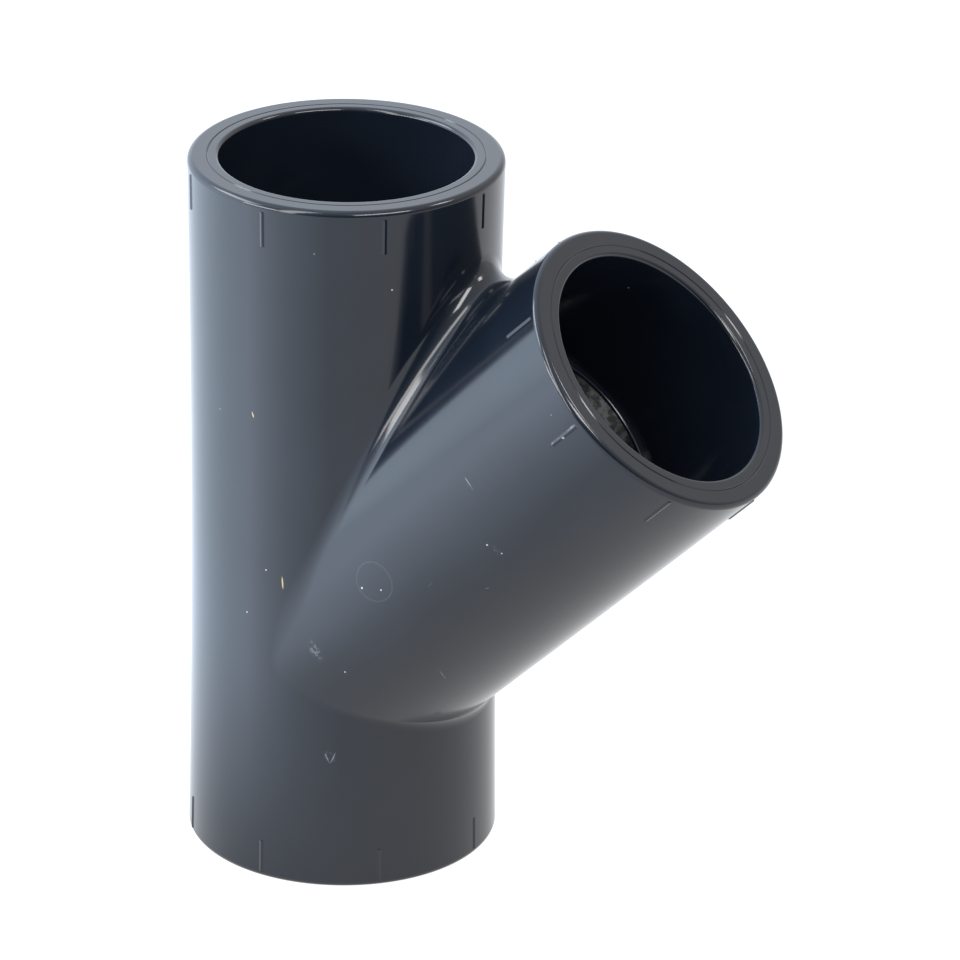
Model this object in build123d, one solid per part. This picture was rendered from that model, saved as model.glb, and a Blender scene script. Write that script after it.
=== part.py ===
from build123d import *
import math
import os

# 45 degree tee in rigid PVC with three equal solvent-cement sockets.
# Millimetres. +Z runs up the straight run, the origin is the centre of the
# lower mouth, and the branch leans over towards +X in the XZ plane.

SOCKET_R = 20.1           # socket bore radius, for 40 mm pipe
SOCKET_DEPTH = 26.0       # mouth to shoulder
WATERWAY_R = 18.75        # bore behind the shoulder
RUN_LENGTH = 117.0        # lower mouth to upper mouth
CROSSING_Z = 36.1         # where the branch axis meets the run axis
BRANCH_LENGTH = 81.3      # crossing to branch mouth
BRANCH_ANGLE = 45.0       # from the run axis
MOUTH_R = 25.15           # outer radius at the run mouths
WAIST_R = 24.62           # outer radius at the middle of the run
BRANCH_MOUTH_R = 25.06    # outer radius at the branch mouth
BRANCH_MID_R = 24.93      # half way along the branch
BRANCH_ROOT_R = 24.56     # outer radius of the branch at the crossing
CREASE_FILLET_R = 3.6     # where branch and run meet
RIM_ROUND = 1.0           # outer edge of each mouth
BORE_ROUND = 0.7          # bore edge of each mouth
SHOULDER_ROUND = 0.4      # inner edge of each socket shoulder
RING_R = 22.0             # fine ring on each end face
RING_WIDTH = 0.30
RING_DEPTH = 0.12
MARK_COUNT = 8            # raised index marks round each mouth
MARK_WIDTH = 0.80
MARK_HEIGHT = 0.22
MARK_LENGTH = 5.85
MARK_START = 1.4          # end face to the start of a mark
LOWER_MARK_LENGTH = 5.6   # the lower mouth's marks sit nearer its end face
LOWER_MARK_START = 1.0
END_BAND = 9.0            # straight length of wall behind each mouth


def barrel(length, r0, r1, r2, first_band):
    """Solid of revolution about Z, seam at -X: one shallow arc between straight
    end bands that carry the index marks (the first band can be left out)."""
    def radius(z):
        return r0 + (r2 - r0) * z / length + (r1 - (r0 + r2) / 2) * 4 * z * (length - z) / length ** 2

    za = END_BAND if first_band else 0
    zb = length - END_BAND
    with BuildSketch(Plane.XZ) as sk:
        with BuildLine():
            if first_band:
                Line((r0, 0), (radius(za), za))
            ThreePointArc((radius(za), za), (radius((za + zb) / 2), (za + zb) / 2), (radius(zb), zb))
            Line((radius(zb), zb), (r2, length))
            Polyline((r2, length), (0, length), (0, 0), (r0, 0))
        make_face()
    return Rot(0, 0, 180) * revolve(sk.sketch, axis=Axis.Z)


def ring_profile(points):
    """Solid of revolution about Z from closed (r, z) corner points."""
    with BuildSketch(Plane.XZ) as sk:
        with BuildLine():
            Polyline(*points, close=True)
        make_face()
    return revolve(sk.sketch, axis=Axis.Z)


def socket_cut(reach):
    """Everything taken out of one mouth, mouth at Z=0 and bore going to -Z."""
    b = BORE_ROUND
    s = SHOULDER_ROUND
    w = RING_WIDTH / 2
    with BuildSketch(Plane.XZ) as sk:
        with BuildLine():
            Polyline((0, 1), (SOCKET_R + b, 1), (SOCKET_R + b, 0))
            RadiusArc((SOCKET_R + b, 0), (SOCKET_R, -b), -b)
            Polyline((SOCKET_R, -b), (SOCKET_R, -SOCKET_DEPTH),
                     (WATERWAY_R + s, -SOCKET_DEPTH))
            RadiusArc((WATERWAY_R + s, -SOCKET_DEPTH), (WATERWAY_R, -SOCKET_DEPTH - s), -s)
            Polyline((WATERWAY_R, -SOCKET_DEPTH - s), (WATERWAY_R, -reach), (0, -reach), (0, 1))
        make_face()
    bore = revolve(sk.sketch, axis=Axis.Z)
    ring = ring_profile([(RING_R - w, 0.5), (RING_R - w, 0), (RING_R, -RING_DEPTH),
                         (RING_R + w, 0), (RING_R + w, 0.5)])
    return [bore, ring]


def marks(mouth_r, slope_deg, start, length):
    """Ridges of triangular section lying along the wall, mouth at Z=0."""
    out = []
    h = MARK_WIDTH / 2
    foot_r = mouth_r - math.tan(math.radians(slope_deg)) * (start + length)
    for i in range(MARK_COUNT):
        section = Polyline((-0.6, -h), (0, -h), (MARK_HEIGHT, 0), (0, h), (-0.6, h), close=True)
        ridge = extrude(make_face(section), amount=length)
        drop = Location((foot_r - 0.02, 0, -start - length), (0, slope_deg, 0))
        out.append(Rot(0, 0, i * 360 / MARK_COUNT) * drop * ridge)
    return out


upper = Location((0, 0, RUN_LENGTH))
lower = Location((0, 0, 0), (180, 0, 0))
crossing = Location((0, 0, CROSSING_Z), (0, BRANCH_ANGLE, 0))
side = crossing * Location((0, 0, BRANCH_LENGTH))

# outer form: run and branch joined with a filleted crease
run = barrel(RUN_LENGTH, MOUTH_R, WAIST_R, MOUTH_R, True)
branch = crossing * barrel(BRANCH_LENGTH, BRANCH_ROOT_R, BRANCH_MID_R, BRANCH_MOUTH_R, False)
body = run + branch
crease = [e for e in body.edges() if e.geom_type == GeomType.BSPLINE]
body = body.fillet(CREASE_FILLET_R, crease)

# rounded outer edge at each mouth
rims = [e for e in body.edges() if e.geom_type == GeomType.CIRCLE and e.length > 150]
body = body.fillet(RIM_ROUND, rims)

# index marks
for ridge in marks(MOUTH_R, 0.95, MARK_START, MARK_LENGTH):
    body = body + upper * ridge
for ridge in marks(MOUTH_R, 0.95, LOWER_MARK_START, LOWER_MARK_LENGTH):
    body = body + lower * ridge
for ridge in marks(BRANCH_MOUTH_R, 0.1, MARK_START, MARK_LENGTH):
    body = body + side * ridge

# sockets, shoulders and waterways
for mouth, reach in ((upper, RUN_LENGTH - CROSSING_Z + 2), (lower, CROSSING_Z + 2), (side, BRANCH_LENGTH)):
    for cut in socket_cut(reach):
        body = body - mouth * cut

body = body.solids()[0] if len(body.solids()) == 1 else body
print("solids", len(body.solids()), "faces", len(body.faces()), "volume", round(body.volume, 1), body.is_valid)

os.makedirs("parts", exist_ok=True)
body.label = "wye_body"
export_step(body, "parts/wye_body.step")
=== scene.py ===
import bpy
import math
import numpy as np
from mathutils import Matrix, Vector


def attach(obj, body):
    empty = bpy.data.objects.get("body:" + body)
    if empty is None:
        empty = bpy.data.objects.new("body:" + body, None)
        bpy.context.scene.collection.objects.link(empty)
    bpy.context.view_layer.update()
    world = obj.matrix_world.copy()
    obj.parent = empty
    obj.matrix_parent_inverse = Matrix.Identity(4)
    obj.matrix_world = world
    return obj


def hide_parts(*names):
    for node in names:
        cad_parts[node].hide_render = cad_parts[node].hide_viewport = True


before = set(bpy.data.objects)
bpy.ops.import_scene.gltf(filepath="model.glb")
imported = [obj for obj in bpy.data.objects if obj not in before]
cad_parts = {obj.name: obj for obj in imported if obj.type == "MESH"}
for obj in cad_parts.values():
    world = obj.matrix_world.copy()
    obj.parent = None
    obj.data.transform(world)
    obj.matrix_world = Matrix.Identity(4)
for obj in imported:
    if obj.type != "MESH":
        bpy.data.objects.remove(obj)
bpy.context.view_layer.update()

MM = 0.001
CROSSING = Vector((0.0, 0.0, 0.0361))


# ------------------------------------------------------------------ camera
def make_camera():
    az, el, roll = math.radians(-59.99), math.radians(24.011), math.radians(0.871)
    back = Vector((math.cos(el) * math.cos(az), math.cos(el) * math.sin(az), math.sin(el)))
    right = Vector((-math.sin(az), math.cos(az), 0.0))
    up = back.cross(right)
    r2 = math.cos(roll) * right + math.sin(roll) * up
    u2 = -math.sin(roll) * right + math.cos(roll) * up
    place = CROSSING + (back * 1121.38 + right * 21.82 + up * 22.806) * MM
    cam = bpy.data.objects.new("camera", bpy.data.cameras.new("camera"))
    bpy.context.scene.collection.objects.link(cam)
    m = Matrix((r2, u2, back)).transposed().to_4x4()
    m.translation = place
    cam.matrix_world = m
    cam.data.sensor_width = 36.0
    cam.data.lens = 6908.45 / 960.0 * 36.0
    cam.data.clip_start = 0.05
    cam.data.clip_end = 20.0
    cam.data.dof.use_dof = False
    bpy.context.scene.camera = cam
    return cam


make_camera()

# ------------------------------------------------------------------ geometry
# The visible moulding is one closed mesh in the CAD part's own form: a run and
# a slanted branch with shallow barrel sides, a blended crease, rounded mouths,
# a fine ring on each end face, raised index marks, sockets with a shoulder and
# plain waterways. Every corner carries the exact surface normal.
RUN_L, CROSS_Z, BR_L = 117.0, 36.1, 81.3
SOCK_R, SOCK_D, WATER_R = 20.1, 26.0, 18.75
MOUTH_R, WAIST_R = 25.15, 24.62
BR_MOUTH_R, BR_MID_R, BR_ROOT_R = 25.06, 24.93, 24.56
RIM, BORE, SHOULDER = 1.0, 0.7, 0.4
RING_R, RING_W, RING_D = 22.0, 0.30, 0.12
MARK_W, MARK_H = 0.80, 0.20
H = math.sqrt(0.5)
BX, BY, BZ = np.array([H, 0, -H]), np.array([0, 1.0, 0]), np.array([H, 0, H])
X0 = np.array([0, 0, CROSS_Z])
NA = 240                                   # azimuth steps on every ring


def run_r(z):
    t = z / RUN_L
    return MOUTH_R * (1 - t) * (1 - 2 * t) + 4 * WAIST_R * t * (1 - t) + MOUTH_R * t * (2 * t - 1)


def run_slope(z):
    return 8 * (MOUTH_R - WAIST_R) / RUN_L * (z / RUN_L - 0.5)


def br_r(s):
    t = s / BR_L
    return BR_ROOT_R * (1 - t) * (1 - 2 * t) + 4 * BR_MID_R * t * (1 - t) + BR_MOUTH_R * t * (2 * t - 1)


def br_slope(s):
    t = s / BR_L
    return (BR_ROOT_R * (4 * t - 3) + 4 * BR_MID_R * (1 - 2 * t) + BR_MOUTH_R * (4 * t - 1)) / BR_L


def run_point(a, z, lift=0.0):
    r = run_r(z) + lift
    return np.array([r * math.cos(a), r * math.sin(a), z])


def run_normal(a, z):
    n = np.array([math.cos(a), math.sin(a), -run_slope(z)])
    return n / np.linalg.norm(n)


def br_point(a, s, lift=0.0):
    r = br_r(s) + lift
    return X0 + s * BZ + r * (math.cos(a) * BX + math.sin(a) * BY)


def br_normal(a, s):
    n = math.cos(a) * BX + math.sin(a) * BY - br_slope(s) * BZ
    return n / np.linalg.norm(n)


class Skin:
    """Collects corner points and their normals, then welds them into one mesh."""

    def __init__(self):
        self.verts, self.index, self.faces, self.normals = [], {}, [], []

    def vert(self, p):
        x, y, z = float(p[0]), float(p[1]), float(p[2])
        k = (round(x * 500), round(y * 500), round(z * 500))
        near = []
        for c, q in zip((x * 500, y * 500, z * 500), k):
            near.append((q, q + 1) if c - q > 0.3 else (q, q - 1) if c - q < -0.3 else (q,))
        for a in near[0]:
            for b in near[1]:
                for c in near[2]:
                    i = self.index.get((a, b, c))
                    if i is not None:
                        v = self.verts[i]
                        if abs(v[0] - x) < 4e-4 and abs(v[1] - y) < 4e-4 and abs(v[2] - z) < 4e-4:
                            return i
        self.index[k] = len(self.verts)
        self.verts.append((x, y, z))
        return len(self.verts) - 1

    def face(self, pts, nors):
        ids, nn = [], []
        for p, n in zip(pts, nors):
            i = self.vert(p)
            if i not in ids:
                ids.append(i)
                nn.append(n)
        if len(ids) < 3:
            return
        a, b, c = (self.verts[ids[k]] for k in (0, 1, len(ids) // 2 + 1))
        if len(ids) == 3:
            c = self.verts[ids[2]]
        u = (b[0] - a[0], b[1] - a[1], b[2] - a[2])
        w = (c[0] - a[0], c[1] - a[1], c[2] - a[2])
        g = (u[1] * w[2] - u[2] * w[1], u[2] * w[0] - u[0] * w[2], u[0] * w[1] - u[1] * w[0])
        m = nn[0] + nn[1] + nn[2]
        if g[0] * m[0] + g[1] * m[1] + g[2] * m[2] < 0:
            ids.reverse()
            nn.reverse()
        self.faces.append(ids)
        self.normals += nn

    def grid(self, pts, nors):
        """pts[i][j] quads, no wrap."""
        for i in range(len(pts) - 1):
            for j in range(len(pts[0]) - 1):
                q = ((i, j), (i + 1, j), (i + 1, j + 1), (i, j + 1))
                self.face([pts[a][b] for a, b in q], [nors[a][b] for a, b in q])


def ring_angles():
    return [2 * math.pi * i / NA for i in range(NA + 1)]


def spin(skin, frame_fn, profile):
    """Revolve (r, h, nr, nh) profile pieces; frame_fn(a) gives (radial, axial, origin)."""
    angs = ring_angles()
    for piece in profile:
        pts, nors = [], []
        for a in angs:
            er, ez, o = frame_fn(a)
            pts.append([o + r * er + h * ez for r, h, _, _ in piece])
            nors.append([nr * er + nh * ez for _, _, nr, nh in piece])
        skin.grid(pts, nors)


def mouth_profile(outer_r):
    """From the outer wall over the rim, face, ring and bore entry down to the shoulder."""
    out = []
    n = 8
    arc = [math.pi / 2 * k / n for k in range(n + 1)]
    out.append([(outer_r - RIM + RIM * math.cos(t), -RIM + RIM * math.sin(t), math.cos(t), math.sin(t)) for t in arc])
    w, d = RING_W / 2, RING_D
    e = math.hypot(w, d)
    flat = lambda r0, r1: [(r0, 0, 0, 1), (r1, 0, 0, 1)]
    out.append(flat(outer_r - RIM, RING_R + w))
    out.append([(RING_R + w, 0, -d / e, w / e), (RING_R, -d, -d / e, w / e)])
    out.append([(RING_R, -d, d / e, w / e), (RING_R - w, 0, d / e, w / e)])
    out.append(flat(RING_R - w, SOCK_R + BORE))
    out.append([(SOCK_R + BORE - BORE * math.sin(t), -BORE + BORE * math.cos(t), -math.sin(t), math.cos(t)) for t in arc])
    hs = [-BORE - (SOCK_D - BORE) * k / 8 for k in range(9)]
    out.append([(SOCK_R, h, -1, 0) for h in hs])
    out.append([(SOCK_R, -SOCK_D, 0, 1), (WATER_R + SHOULDER, -SOCK_D, 0, 1)])
    out.append([(WATER_R + SHOULDER - SHOULDER * math.sin(t), -SOCK_D - SHOULDER + SHOULDER * math.cos(t), -math.sin(t), math.cos(t))
                for t in arc[::2]])
    return out


# crease: a ball rolled along the two walls, az round the branch, 180 degrees at the crotch
def ball_centre(az, r):
    e = math.cos(az) * BX + math.sin(az) * BY

    def gap(s):
        c = X0 + s * BZ + (br_r(min(max(s, 0), BR_L)) + r) * e
        return math.hypot(c[0], c[1]) - (run_r(c[2]) + r), c

    prev, step = 90.0, 0.5
    while prev > -30:
        a, b = prev, prev - step
        if gap(a)[0] > 0 >= gap(b)[0]:
            for _ in range(45):
                m = (a + b) / 2
                if gap(m)[0] > 0:
                    a = m
                else:
                    b = m
            return gap((a + b) / 2)[1], e
        prev = b
    return None, e


def blend_radius(az):
    """Even over the crotch, wider where the two walls run into each other at the sides."""
    d = math.degrees(abs(az)) - 90.0
    return 3.6 + 16.5 * math.exp(-(d / 12.2) ** 2)


def crease_strip():
    """Cross-sections of the crease blend, one per branch azimuth, run side first."""
    n_az, n_arc = 480, 12
    rows = []
    for i in range(n_az):
        az = -math.pi + 2 * math.pi * i / n_az
        if i > n_az // 2:                   # mirror image of the first half
            rows.append([p * np.array([1, -1, 1]) for p in rows[n_az - i]])
            continue
        r = blend_radius(az)
        c, e = ball_centre(az, r)
        rho = np.array([c[0], c[1], 0.0])
        rho /= np.linalg.norm(rho)
        u, v = -rho, -e
        th = math.acos(max(-1.0, min(1.0, float(u @ v))))
        row = []
        for k in range(n_arc + 1):
            t = k / n_arc
            w = (math.sin((1 - t) * th) * u + math.sin(t * th) * v) / math.sin(th) if th > 1e-5 else u
            row.append(c + r * w)
        # the two ends lie exactly on the barrel walls
        a = math.atan2(row[0][1], row[0][0])
        row[0] = run_point(a, row[0][2])
        d = row[-1] - X0
        row[-1] = br_point(math.atan2(d @ BY, d @ BX), d @ BZ)
        rows.append(row)
    g = np.array(rows)
    du = np.roll(g, -1, 0) - np.roll(g, 1, 0)
    dv = np.gradient(g, axis=1)
    n = np.cross(du, dv)
    n /= np.linalg.norm(n, axis=2)[:, :, None]
    mid = g[:, n_arc // 2, :]
    if (n[0, n_arc // 2] @ np.array([0.4, 0, 1.0])) < 0:
        n = -n
    for i in range(n_az):                   # exact at the two ends
        p = g[i, 0]
        n[i, 0] = run_normal(math.atan2(p[1], p[0]), p[2])
        d = g[i, -1] - X0
        n[i, -1] = br_normal(math.atan2(d @ BY, d @ BX), d @ BZ)
    return g, n


def in_loop(u, v, loop):
    """Even-odd test against a closed loop, an array of (u, v)."""
    a, b = loop, np.roll(loop, 1, axis=0)
    cross = (a[:, 1] > v) != (b[:, 1] > v)
    a, b = a[cross], b[cross]
    return bool(np.count_nonzero(u < (b[:, 0] - a[:, 0]) * (v - a[:, 1]) / (b[:, 1] - a[:, 1]) + a[:, 0]) % 2)


def wall(skin, lo, hi, point, normal, marks, loop=None, floor_line=None, v_step=3.0):
    """One outer wall, unrolled to (azimuth * 25, height) and triangulated with its marks and crease edge."""
    U = 25.0
    pts, edges = [], []
    lift = {}

    def add(u, v, up=0.0):
        pts.append(Vector((u, v)))
        if up:
            lift[len(pts) - 1] = up
        return len(pts) - 1

    def chain(ids, close=False):
        for a, b in zip(ids, ids[1:] + ([ids[0]] if close else [])):
            edges.append((a, b))

    us = [(-math.pi + 2 * math.pi * i / NA) * U for i in range(NA + 1)]
    top = [add(u, hi) for u in us]
    n_v = max(2, round((hi - lo) / v_step))
    if floor_line is None:
        base = [add(u, lo) for u in us]
        left = [add(us[0], lo + (hi - lo) * k / n_v) for k in range(1, n_v)]
        right = [add(us[-1], lo + (hi - lo) * k / n_v) for k in range(1, n_v)]
    else:
        base = [add(u, v) for u, v in floor_line]
        v0 = floor_line[0][1]
        left = [add(us[0], v0 + (hi - v0) * k / n_v) for k in range(1, n_v)]
        right = [add(us[-1], v0 + (hi - v0) * k / n_v) for k in range(1, n_v)]
    chain(base)
    chain(top)
    chain([base[0]] + left + [top[0]])
    chain([base[-1]] + right + [top[-1]])
    if loop is not None:
        chain([add(u, v) for u, v in loop], close=True)
    boxes = []
    half = MARK_W / 2
    for a0, v0, v1 in marks:
        u0 = a0 * U
        for shift in (-2 * math.pi * U, 0.0, 2 * math.pi * U):
            uc = u0 + shift
            if uc < us[0] - 1e-6 or uc > us[-1] + 1e-6:
                continue
            if abs(uc - us[0]) < 1e-6 or abs(uc - us[-1]) < 1e-6:
                s = 1 if uc < 0 else -1     # a mark that sits on the seam is made of two halves
                crest = [(uc, v0 + 0.08), (uc, v1 - 0.08)]
                b = [add(uc + s * half, v0), add(uc + s * half, v1)]
                ring = [add(uc, v0), b[0], b[1], add(uc, v1)]
                c = [add(*crest[0], MARK_H), add(*crest[1], MARK_H)]
                chain([ring[0], ring[1], ring[2], ring[3]])
                chain([ring[0], c[0], c[1], ring[3]])
                boxes.append((min(uc, uc + s * half), max(uc, uc + s * half), v0, v1))
            else:
                ring = [add(uc - half, v0), add(uc + half, v0), add(uc + half, v1), add(uc - half, v1)]
                c = [add(uc, v0 + 0.08, MARK_H), add(uc, v1 - 0.08, MARK_H)]
                chain(ring, close=True)
                chain(c)
                boxes.append((uc - half, uc + half, v0, v1))
    loop_np = np.array(loop) if loop is not None else None
    base_np = np.array(floor_line) if floor_line is not None else None
    for k in range(1, n_v * 1):
        v = lo + (hi - lo) * k / n_v
        for i in range(1, NA, 2) if k % 2 else range(2, NA, 2):
            u = us[i]
            if any(b[0] - 0.4 < u < b[1] + 0.4 and b[2] - 0.4 < v < b[3] + 0.4 for b in boxes):
                continue
            if loop_np is not None:
                if in_loop(u, v, loop_np) or np.hypot(loop_np[:, 0] - u, loop_np[:, 1] - v).min() < 0.8:
                    continue
            if base_np is not None:
                j = int(np.clip(np.searchsorted(base_np[:, 0], u), 1, len(base_np) - 1))
                if v < max(base_np[j - 1, 1], base_np[j, 1]) + 0.8 or np.hypot(base_np[:, 0] - u, base_np[:, 1] - v).min() < 0.8:
                    continue
            add(u, v)
    from mathutils.geometry import delaunay_2d_cdt
    vv, _, ff, orig, _, _ = delaunay_2d_cdt(pts, edges, [], 0, 1e-5, True)
    up = [max([lift.get(o, 0.0) for o in os_] or [0.0]) for os_ in orig]
    for f in ff:
        cu = sum(vv[i].x for i in f) / len(f)
        cv = sum(vv[i].y for i in f) / len(f)
        if loop_np is not None and in_loop(cu, cv, loop_np):
            continue
        if base_np is not None and cv < np.interp(cu, base_np[:, 0], base_np[:, 1]):
            continue
        P = [point(vv[i].x / U, vv[i].y, up[i]) for i in f]
        if any(b[0] - 1e-4 <= cu <= b[1] + 1e-4 and b[2] - 1e-4 <= cv <= b[3] + 1e-4 for b in boxes):
            g = np.cross(P[1] - P[0], P[2] - P[0])
            if np.linalg.norm(g) < 1e-9:
                continue
            g /= np.linalg.norm(g)
            if g @ normal(cu / U, cv) < 0:
                g = -g
            N = [g] * len(P)
        else:
            N = [normal(vv[i].x / U, vv[i].y) for i in f]
        skin.face(P, N)


def build_skin():
    skin = Skin()
    g, n = crease_strip()
    # blend strip
    m = len(g)
    for i in range(m):
        j = (i + 1) % m
        for k in range(g.shape[1] - 1):
            skin.face([g[i, k], g[j, k], g[j, k + 1], g[i, k + 1]], [n[i, k], n[j, k], n[j, k + 1], n[i, k + 1]])
    U = 25.0
    t_run = math.atan(run_slope(RUN_L))
    drop = RIM + RIM * math.sin(t_run)
    loop = [(math.atan2(p[1], p[0]) * U, p[2]) for p in g[:, 0]]
    eighth = [2 * math.pi * k / 8 for k in range(-4, 4)]
    marks = [(a, RUN_L - 1.4 - 5.85, RUN_L - 1.4) for a in eighth] + [(a, 1.02, 6.6) for a in eighth]
    wall(skin, drop, RUN_L - drop, run_point, run_normal, marks, loop=loop)
    line = []
    for i in range(m + 1):
        p = g[i % m, -1] - X0
        a = math.atan2(p @ BY, p @ BX)
        if i == 0:
            a = -math.pi
        if i == m:
            a = math.pi
        line.append((a * U, float(p @ BZ)))
    marks = [(a, BR_L - 1.4 - 5.85, BR_L - 1.4) for a in eighth]
    wall(skin, line[m // 2][1], BR_L - RIM, br_point, br_normal, marks, floor_line=line)

    # the three mouths
    up_f = lambda a: (np.array([math.cos(a), math.sin(a), 0]), np.array([0, 0, 1.0]), np.array([0, 0, RUN_L]))
    dn_f = lambda a: (np.array([math.cos(a), math.sin(a), 0]), np.array([0, 0, -1.0]), np.array([0, 0, 0.0]))
    br_f = lambda a: (math.cos(a) * BX + math.sin(a) * BY, BZ, X0 + BR_L * BZ)
    for f, r, t0 in ((up_f, run_r(RUN_L - drop), -t_run), (dn_f, run_r(drop), -t_run), (br_f, br_r(BR_L - RIM), 0.0)):
        prof = mouth_profile(r - RIM * math.cos(t0) + RIM)
        k = 8
        arc = [t0 + (math.pi / 2 - t0) * i / k for i in range(k + 1)]
        rc = r - RIM * math.cos(t0)
        prof[0] = [(rc + RIM * math.cos(t), -RIM + RIM * math.sin(t), math.cos(t), math.sin(t)) for t in arc]
        spin(skin, f, prof)

    # waterways, meeting in sharp planes as equal bores do
    R = WATER_R
    zb, zt = SOCK_D + SHOULDER, RUN_L - SOCK_D - SHOULDER
    angs = ring_angles()

    def bore_span(a, v0, v1, steps, base, e1, e2, ez):
        e = math.cos(a) * e1 + math.sin(a) * e2
        return [base + R * e + ez * (v0 + (v1 - v0) * k / steps) for k in range(steps + 1)], [-e] * (steps + 1)

    ex, ey, ez = np.array([1.0, 0, 0]), np.array([0, 1.0, 0]), np.array([0, 0, 1.0])
    O = np.zeros(3)
    low, top, brn = [], [], []
    for a in angs:
        c = math.cos(a)
        lowz = CROSS_Z + (-0.41421356 * R * c if c > 0 else 0.0)
        topz = CROSS_Z + (2.41421356 * R * c if c > 0 else 0.0)
        low.append(bore_span(a, zb, lowz, 6, O, ex, ey, ez))
        top.append(bore_span(a, topz, zt, 12, O, ex, ey, ez))
        s0 = 0.41421356 * R * c if c > 0 else -2.41421356 * R * c
        brn.append(bore_span(a, s0, BR_L - SOCK_D - SHOULDER, 10, X0, BX, BY, BZ))
    for part in (low, top, brn):
        skin.grid([p for p, _ in part], [q for _, q in part])
    return skin


def moulding():
    skin = build_skin()
    me = bpy.data.meshes.new("wye_moulding")
    me.from_pydata([tuple(float(c) * MM for c in v) for v in skin.verts], [], skin.faces)
    me.update()
    for p in me.polygons:
        p.use_smooth = True
    me.normals_split_custom_set([tuple(float(c) for c in q) for q in skin.normals])
    o = bpy.data.objects.new("wye_moulding", me)
    bpy.context.scene.collection.objects.link(o)
    return o



# ---------------------------------------------------------------- material
def calc(nt, op, a, b=None, c=None, clamp=False):
    n = nt.nodes.new("ShaderNodeMath")
    n.operation = op
    n.use_clamp = clamp
    for k, v in enumerate((a, b, c)):
        if v is None:
            continue
        if isinstance(v, (int, float)):
            n.inputs[k].default_value = v
        else:
            nt.links.new(v, n.inputs[k])
    return n.outputs[0]


def vec(nt, op, a, b=None):
    n = nt.nodes.new("ShaderNodeVectorMath")
    n.operation = op
    for k, v in enumerate((a, b)):
        if v is None:
            continue
        if isinstance(v, tuple):
            n.inputs[k].default_value = v
        else:
            nt.links.new(v, n.inputs[k])
    return n.outputs["Value"] if op in ("LENGTH", "DISTANCE", "DOT_PRODUCT") else n.outputs[0]


def mix(nt, fac, a, b, mode="MIX"):
    n = nt.nodes.new("ShaderNodeMix")
    n.data_type = "RGBA"
    n.blend_type = mode
    for sock, v in ((n.inputs[0], fac), (n.inputs[6], a), (n.inputs[7], b)):
        if isinstance(v, (int, float, tuple)):
            sock.default_value = v
        else:
            nt.links.new(v, sock)
    return n.outputs[2]


def fit(nt, v, a, b, c=0.0, d=1.0, smooth=True):
    """Map a..b onto c..d, held at the ends."""
    n = nt.nodes.new("ShaderNodeMapRange")
    n.interpolation_type = "SMOOTHSTEP" if smooth else "LINEAR"
    nt.links.new(v, n.inputs[0])
    for k, q in enumerate((a, b, c, d)):
        n.inputs[k + 1].default_value = q
    return n.outputs[0]


def noise(nt, at, scale, detail=3.0, rough=0.55, stretch=None):
    if stretch:
        at = vec(nt, "MULTIPLY", at, stretch)
    n = nt.nodes.new("ShaderNodeTexNoise")
    nt.links.new(at, n.inputs["Vector"])
    n.inputs["Scale"].default_value = scale
    n.inputs["Detail"].default_value = detail
    n.inputs["Roughness"].default_value = rough
    return n.outputs[0]


def stroke(nt, at, a, b, width, soft=0.45):
    """Mask of a short straight mark from a to b, millimetres in the part's own space."""
    a, b = Vector(a) * MM, Vector(b) * MM
    along = b - a
    n = nt.nodes.new("ShaderNodeMapping")
    n.vector_type = "TEXTURE"
    nt.links.new(at, n.inputs["Vector"])
    n.inputs["Location"].default_value = (a + b) / 2
    w = width * MM / 2
    if along.length > 1e-6:
        n.inputs["Rotation"].default_value = along.to_track_quat("Z", "Y").to_euler()
    n.inputs["Scale"].default_value = (w, w, along.length / 2 + w)
    return fit(nt, vec(nt, "LENGTH", n.outputs[0]), 1.0, soft)


def most(nt, masks):
    m = masks[0]
    for q in masks[1:]:
        m = calc(nt, "MAXIMUM", m, q)
    return m


# marks in the plastic, as (from, to, width)
YELLOW_FLECKS = [((3.37, -24.39, 54.05), (3.55, -24.37, 51.75), 0.36), ((-2.10, -24.61, 81.2), (-1.80, -24.62, 80.3), 0.36)]
WHITE_SPECKS = [(18.54, -16.67, 103.68, 0.42), (18.42, -24.81, 55.86, 0.50), (21.91, -24.83, 56.38, 0.40),
                (-3.13, -24.44, 46.19, 0.34), (0.53, -24.61, 54.51, 0.36), (14.57, -23.43, 39.69, 0.36),
                (40.66, -24.29, 68.49, 0.42), (42.9, -23.6, 67.3, 0.36), (54.26, -25.17, 90.10, 0.55)]
HAIRLINES = [((28.93, -18.82, 42.17), (29.22, -16.12, 38.69), 0.26), ((36.51, -24.55, 79.31), (38.16, -24.88, 77.79), 0.30),
             ((10.23, -22.59, 24.08), (11.12, -22.19, 22.00), 0.26), ((11.12, -22.19, 22.00), (11.95, -21.73, 24.17), 0.26),
             ((52.11, -25.05, 88.38), (53.6, -25.15, 89.9), 0.50), ((54.9, -25.15, 91.4), (56.09, -25.10, 92.66), 0.42),
             ((29.6, -24.31, 58.1), (33.1, -24.6, 62.3), 0.16), ((24.0, -24.9, 66.0), (27.5, -24.6, 70.5), 0.16),
             ((44.0, -24.6, 76.5), (47.8, -24.3, 77.8), 0.18), ((15.5, -24.4, 48.5), (19.5, -24.3, 49.6), 0.16),
             ((2.0, -24.5, 96.0), (4.4, -24.3, 97.8), 0.18), ((39.0, -22.6, 60.0), (42.0, -21.5, 60.5), 0.18)]
SCUFFS = [((9.0, -24.5, 43.6), (10.2, -24.5, 41.8), 2.8), ((41.6, -24.0, 68.1), (42.2, -23.8, 67.5), 1.6),
          ((37.2, -24.7, 78.6), (38.6, -24.9, 77.0), 1.2), ((10.8, -22.3, 23.6), (11.3, -22.1, 22.8), 1.8)]


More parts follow.
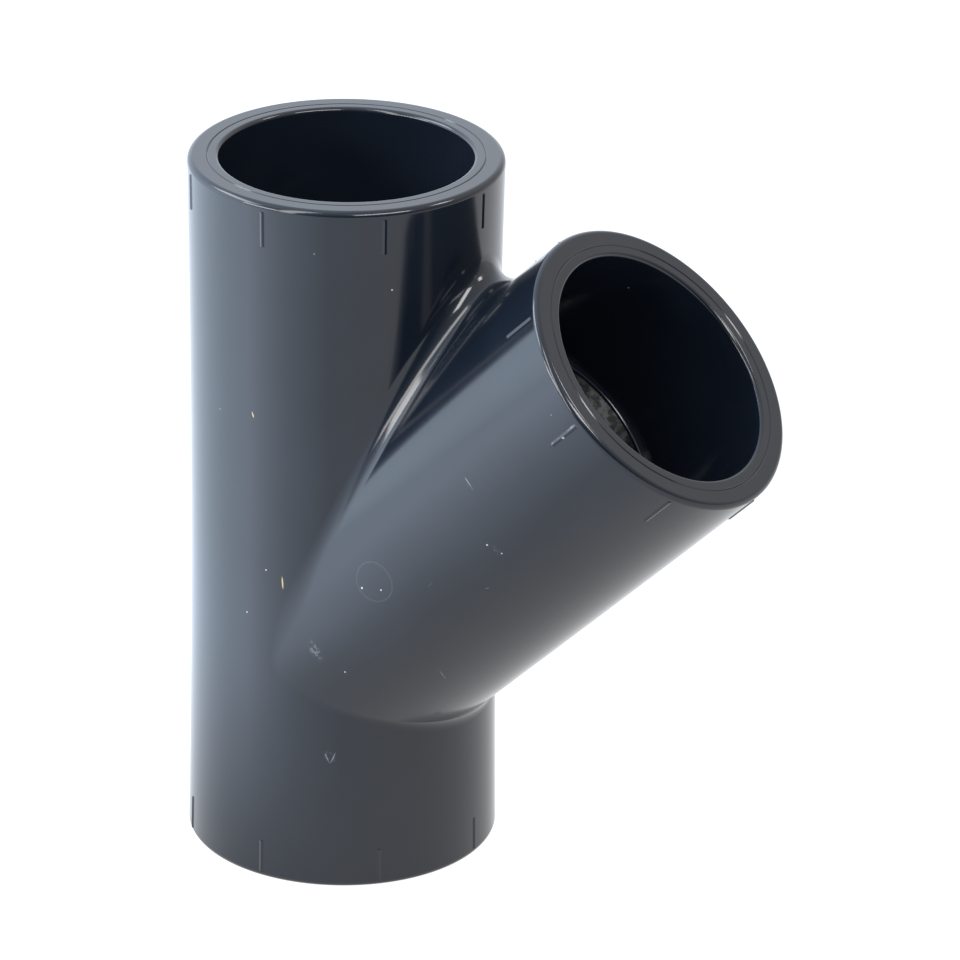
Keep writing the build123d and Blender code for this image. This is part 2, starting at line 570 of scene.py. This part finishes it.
def plastic():
    """Rigid PVC: dark blue grey, satin gloss, lightly handled."""
    m = bpy.data.materials.new("rigid_pvc_dark_grey")
    m.use_nodes = True
    nt = m.node_tree
    nt.nodes.clear()
    out = nt.nodes.new("ShaderNodeOutputMaterial")
    b = nt.nodes.new("ShaderNodeBsdfPrincipled")
    b.inputs["IOR"].default_value = 1.50
    nt.links.new(b.outputs[0], out.inputs[0])
    co = nt.nodes.new("ShaderNodeTexCoord")
    at = co.outputs["Object"]

    # pigment, a little uneven
    cloud = noise(nt, at, 45.0, 2.0)
    tone = mix(nt, fit(nt, cloud, 0.3, 0.7), (0.0050, 0.0076, 0.0130, 1), (0.0072, 0.0104, 0.0170, 1))

    # dust specks: one small dot in a few of the cells
    cells = nt.nodes.new("ShaderNodeTexVoronoi")
    nt.links.new(at, cells.inputs["Vector"])
    cells.inputs["Scale"].default_value = 230.0
    pick = nt.nodes.new("ShaderNodeSeparateColor")
    nt.links.new(cells.outputs["Color"], pick.inputs[0])
    dust = calc(nt, "MULTIPLY", fit(nt, cells.outputs["Distance"], 0.055, 0.025), fit(nt, pick.outputs[0], 0.80, 0.95))

    flecks = most(nt, [stroke(nt, at, a, c, w) for a, c, w in YELLOW_FLECKS])
    specks = most(nt, [stroke(nt, at, q[:3], q[:3], q[3]) for q in WHITE_SPECKS])
    lines = most(nt, [stroke(nt, at, a, c, w) for a, c, w in HAIRLINES])
    patch = most(nt, [stroke(nt, at, a, c, w, 0.1) for a, c, w in SCUFFS])
    grain = fit(nt, noise(nt, at, 1500.0, 2.0, 0.7), 0.50, 0.66)
    patch = calc(nt, "MULTIPLY", patch, grain)
    broken = fit(nt, noise(nt, at, 800.0, 1.0), 0.38, 0.55)
    lines = calc(nt, "MULTIPLY", lines, broken)
    # fine ring left by a gate or an ejector on the side of the branch
    away = vec(nt, "DISTANCE", at, (0.02063, -0.02484, 0.05746))
    witness = fit(nt, calc(nt, "ABSOLUTE", calc(nt, "SUBTRACT", away, 0.0033)), 0.00018, 0.00004)

    # painted pool of light on the branch waterway just behind its shoulder, where light from the top mouth falls: a
    # pale tone broken by faint tool-mark ticks, the patch also matt in the gloss
    up = calc(nt, "SUBTRACT", vec(nt, "DOT_PRODUCT", at, (H, 0.0, H)), (CROSS_Z * H + BR_L - SOCK_D) * MM)
    behind = fit(nt, up, -0.0004, -0.0007)
    spot = fit(nt, vec(nt, "DISTANCE", at, (0.0372, 0.0187, 0.0751)), 0.0095, 0.0005)
    ticks = fit(nt, noise(nt, at, 1100.0, 1.0, stretch=(1.0, 0.12, 1.0)), 0.35, 0.65, 0.30, 1.0)
    across = vec(nt, "DOT_PRODUCT", at, (0.0, 1.0, 0.0))
    inside = fit(nt, across, 0.0212, 0.0204)
    ledge = calc(nt, "MULTIPLY", inside, calc(nt, "MULTIPLY", behind, spot))
    ledge_painted_light = calc(nt, "MULTIPLY", ledge, ticks)

    c = mix(nt, calc(nt, "MULTIPLY", dust, 0.5), tone, (0.30, 0.31, 0.32, 1))
    c = mix(nt, calc(nt, "MULTIPLY", patch, 0.40), c, (0.20, 0.22, 0.24, 1))
    c = mix(nt, calc(nt, "MULTIPLY", lines, 0.40), c, (0.26, 0.29, 0.33, 1))
    c = mix(nt, calc(nt, "MULTIPLY", witness, 0.08), c, (0.20, 0.22, 0.26, 1))
    c = mix(nt, calc(nt, "MULTIPLY", specks, 0.85), c, (0.42, 0.43, 0.44, 1))
    c = mix(nt, calc(nt, "MULTIPLY", flecks, 0.90), c, (0.42, 0.33, 0.15, 1))
    # painted light: the pale patch behind the branch shoulder stands in for light from the top mouth
    c = mix(nt, ledge_painted_light, c, (0.40, 0.43, 0.42, 1))
    nt.links.new(c, b.inputs["Base Color"])

    # gloss: clouded by handling, with long faint drag streaks
    streak = noise(nt, at, 60.0, 1.0, stretch=(12.0, 12.0, 0.6))
    r = calc(nt, "ADD", fit(nt, noise(nt, at, 90.0, 2.0), 0.3, 0.7, 0.095, 0.135), fit(nt, streak, 0.3, 0.75, 0.0, 0.02))
    worn = most(nt, [calc(nt, "MULTIPLY", lines, 0.6), patch, calc(nt, "MULTIPLY", dust, 0.8), specks, flecks, ledge,
                     calc(nt, "MULTIPLY", witness, 0.3)])
    r = calc(nt, "MULTIPLY_ADD", worn, 0.35, r)
    nt.links.new(r, b.inputs["Roughness"])

    # moulded skin: very shallow swell
    h = calc(nt, "MULTIPLY", noise(nt, at, 120.0, 1.0), 0.0000045)
    bump = nt.nodes.new("ShaderNodeBump")
    bump.inputs["Distance"].default_value = 1.0
    bump.inputs["Strength"].default_value = 1.0
    nt.links.new(h, bump.inputs["Height"])
    nt.links.new(bump.outputs[0], b.inputs["Normal"])
    return m


mat = plastic()
body = moulding()
body.data.materials.append(mat)
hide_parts("wye_body")
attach(body, "root")


# ------------------------------------------------------------------- stage
# A glowing table, its white look and the light on it painted in as emission, and a soft
# white dome: brighter behind and to the left of the part, dimmer on the side the viewer stands.
def tint(deg):
    """Daylight from the left and behind, slightly warmer from the right."""
    t = 0.5 - 0.5 * math.cos(math.radians(deg - 20.0))
    return (1.03 - 0.20 * t, 1.0 - 0.025 * t, 0.97 + 0.19 * t)


def ramp(nt, stops, links, src):
    """A colour ramp of radiance by azimuth, scaled so that 1.0 means 4.0."""
    r = nt.nodes.new("ShaderNodeValToRGB")
    e = r.color_ramp.elements
    while len(e) > 1:
        e.remove(e[-1])
    for k, (deg, val) in enumerate(stops):
        q = e[0] if k == 0 else e.new(deg / 360.0)
        q.position = deg / 360.0
        q.color = tuple(val / 4.0 * c for c in tint(deg)) + (1,)
    links.new(src, r.inputs[0])
    return r.outputs[0]


def turn(nt, x, y):
    """Azimuth of (x, y) as 0..1, counted from +X towards +Y."""
    a = calc(nt, "ARCTAN2", y, x)
    return calc(nt, "FRACT", calc(nt, "ADD", calc(nt, "DIVIDE", a, 2 * math.pi), 1.0))


LOW = [(0, .38), (8, .40), (22, .51), (38, .68), (60, .90), (82, .75), (98, 1.05), (112, 1.60), (128, 1.75),
       (142, 1.65), (158, 1.89), (172, 2.25), (188, 2.76), (202, 3.35), (218, 3.20), (232, 1.60), (248, 0.80),
       (262, .40), (278, .25), (292, .03), (322, .03), (338, .12), (352, .27), (360, .38)]
MID = [(0, .66), (18, .74), (45, .98), (75, 1.02), (99, 1.15), (117, 1.45), (135, 1.50), (153, 1.63), (171, 1.91),
       (189, 2.20), (207, 2.20), (225, 1.60), (243, 0.80), (261, 0.60), (279, .50), (297, .42), (315, .42),
       (333, .50), (351, .60), (360, .66)]
TOP = [(0, .92), (54, .95), (90, 1.05), (126, 1.30), (162, 1.45), (198, 1.55), (234, 1.40), (270, 1.00),
       (306, .85), (360, .92)]
TABLE = [(0, 1.0), (75, 1.0), (105, 1.0), (135, 1.25), (165, 1.80), (195, 2.45), (225, 3.00), (255, 1.75),
         (285, 1.0), (360, 1.0)]


def dome():
    w = bpy.data.worlds.new("soft_dome")
    bpy.context.scene.world = w
    w.use_nodes = True
    nt = w.node_tree
    bg = nt.nodes["Background"]
    co = nt.nodes.new("ShaderNodeTexCoord")
    sx = nt.nodes.new("ShaderNodeSeparateXYZ")
    nt.links.new(co.outputs["Generated"], sx.inputs[0])
    x, y, z = sx.outputs
    az = turn(nt, x, y)
    el = calc(nt, "DIVIDE", calc(nt, "ARCSINE", z), math.radians(90))
    low, mid, top = (ramp(nt, t, nt.links, az) for t in (LOW, MID, TOP))
    f1 = calc(nt, "MULTIPLY_ADD", el, 90 / 22.5, -15 / 22.5, clamp=True)
    f2 = calc(nt, "MULTIPLY_ADD", el, 90 / 30.0, -37.5 / 30.0, clamp=True)
    c1 = mix(nt, f1, low, mid)
    c2 = mix(nt, f2, c1, top)
    nt.links.new(c2, bg.inputs[0])
    bg.inputs[1].default_value = 4.0


def floor():
    s = 3.0
    me = bpy.data.meshes.new("floor")
    me.from_pydata([(-s, -s, 0), (s, -s, 0), (s, s, 0), (-s, s, 0)], [], [(0, 1, 2, 3)])
    o = bpy.data.objects.new("floor", me)
    bpy.context.scene.collection.objects.link(o)
    m = bpy.data.materials.new("floor_painted_glow")
    m.use_nodes = True
    nt = m.node_tree
    b = nt.nodes["Principled BSDF"]
    b.inputs["Base Color"].default_value = (0.1, 0.1, 0.1, 1)
    b.inputs["Roughness"].default_value = 0.9
    b.inputs["Specular IOR Level"].default_value = 0.0
    co = nt.nodes.new("ShaderNodeTexCoord")
    sx = nt.nodes.new("ShaderNodeSeparateXYZ")
    nt.links.new(co.outputs["Object"], sx.inputs[0])
    x, y, z = sx.outputs
    x = calc(nt, "SUBTRACT", x, 0.02)
    glow = ramp(nt, TABLE, nt.links, turn(nt, x, y))
    dist = calc(nt, "SQRT", calc(nt, "ADD", calc(nt, "MULTIPLY", x, x), calc(nt, "MULTIPLY", y, y)))
    near = nt.nodes.new("ShaderNodeMapRange")
    near.interpolation_type = "SMOOTHSTEP"
    near.inputs[1].default_value = 0.02
    near.inputs[2].default_value = 0.13
    nt.links.new(dist, near.inputs[0])
    # painted light on the table: dark base colour with emission, held even close round the part and brighter behind and
    # to the left
    c = mix(nt, near.outputs[0], (0.25, 0.25, 0.25, 1), glow)
    nt.links.new(c, b.inputs["Emission Color"])
    b.inputs["Emission Strength"].default_value = 4.0 * 0.965
    me.materials.append(m)


def area(name, az, el, size, radiance, color, dist=1.8):
    """A soft box facing the part, size in degrees seen from it."""
    a, e = math.radians(az), math.radians(el)
    mid = Vector((0.02, 0.0, 0.06))
    loc = mid + dist * Vector((math.cos(e) * math.cos(a), math.cos(e) * math.sin(a), math.sin(e)))
    d = bpy.data.lights.new(name, "AREA")
    d.shape = "RECTANGLE"
    d.size, d.size_y = (2 * dist * math.tan(math.radians(q / 2)) for q in size)
    d.energy = math.pi * d.size * d.size_y * radiance
    d.color = color
    o = bpy.data.objects.new(name, d)
    bpy.context.scene.collection.objects.link(o)
    o.location = loc
    o.rotation_mode = "QUATERNION"
    o.rotation_quaternion = (mid - loc).to_track_quat("-Z", "Y")


dome()
floor()
area("softbox left", 200, 40, (34, 18), 7.0, (0.90, 0.97, 1.0))
area("softbox front", 331, 46, (34, 11), 12.0, (1.0, 0.99, 0.97))
area("softbox back", 32, 47, (9, 12), 12.0, (1.0, 1.0, 1.0))
area("window", 237, 19, (26, 14), 10.0, (1.0, 0.99, 0.97))
area("strip", 258, 36, (12, 62), 7.0, (1.0, 0.99, 0.97))
bpy.context.scene.view_settings.view_transform = "Standard"
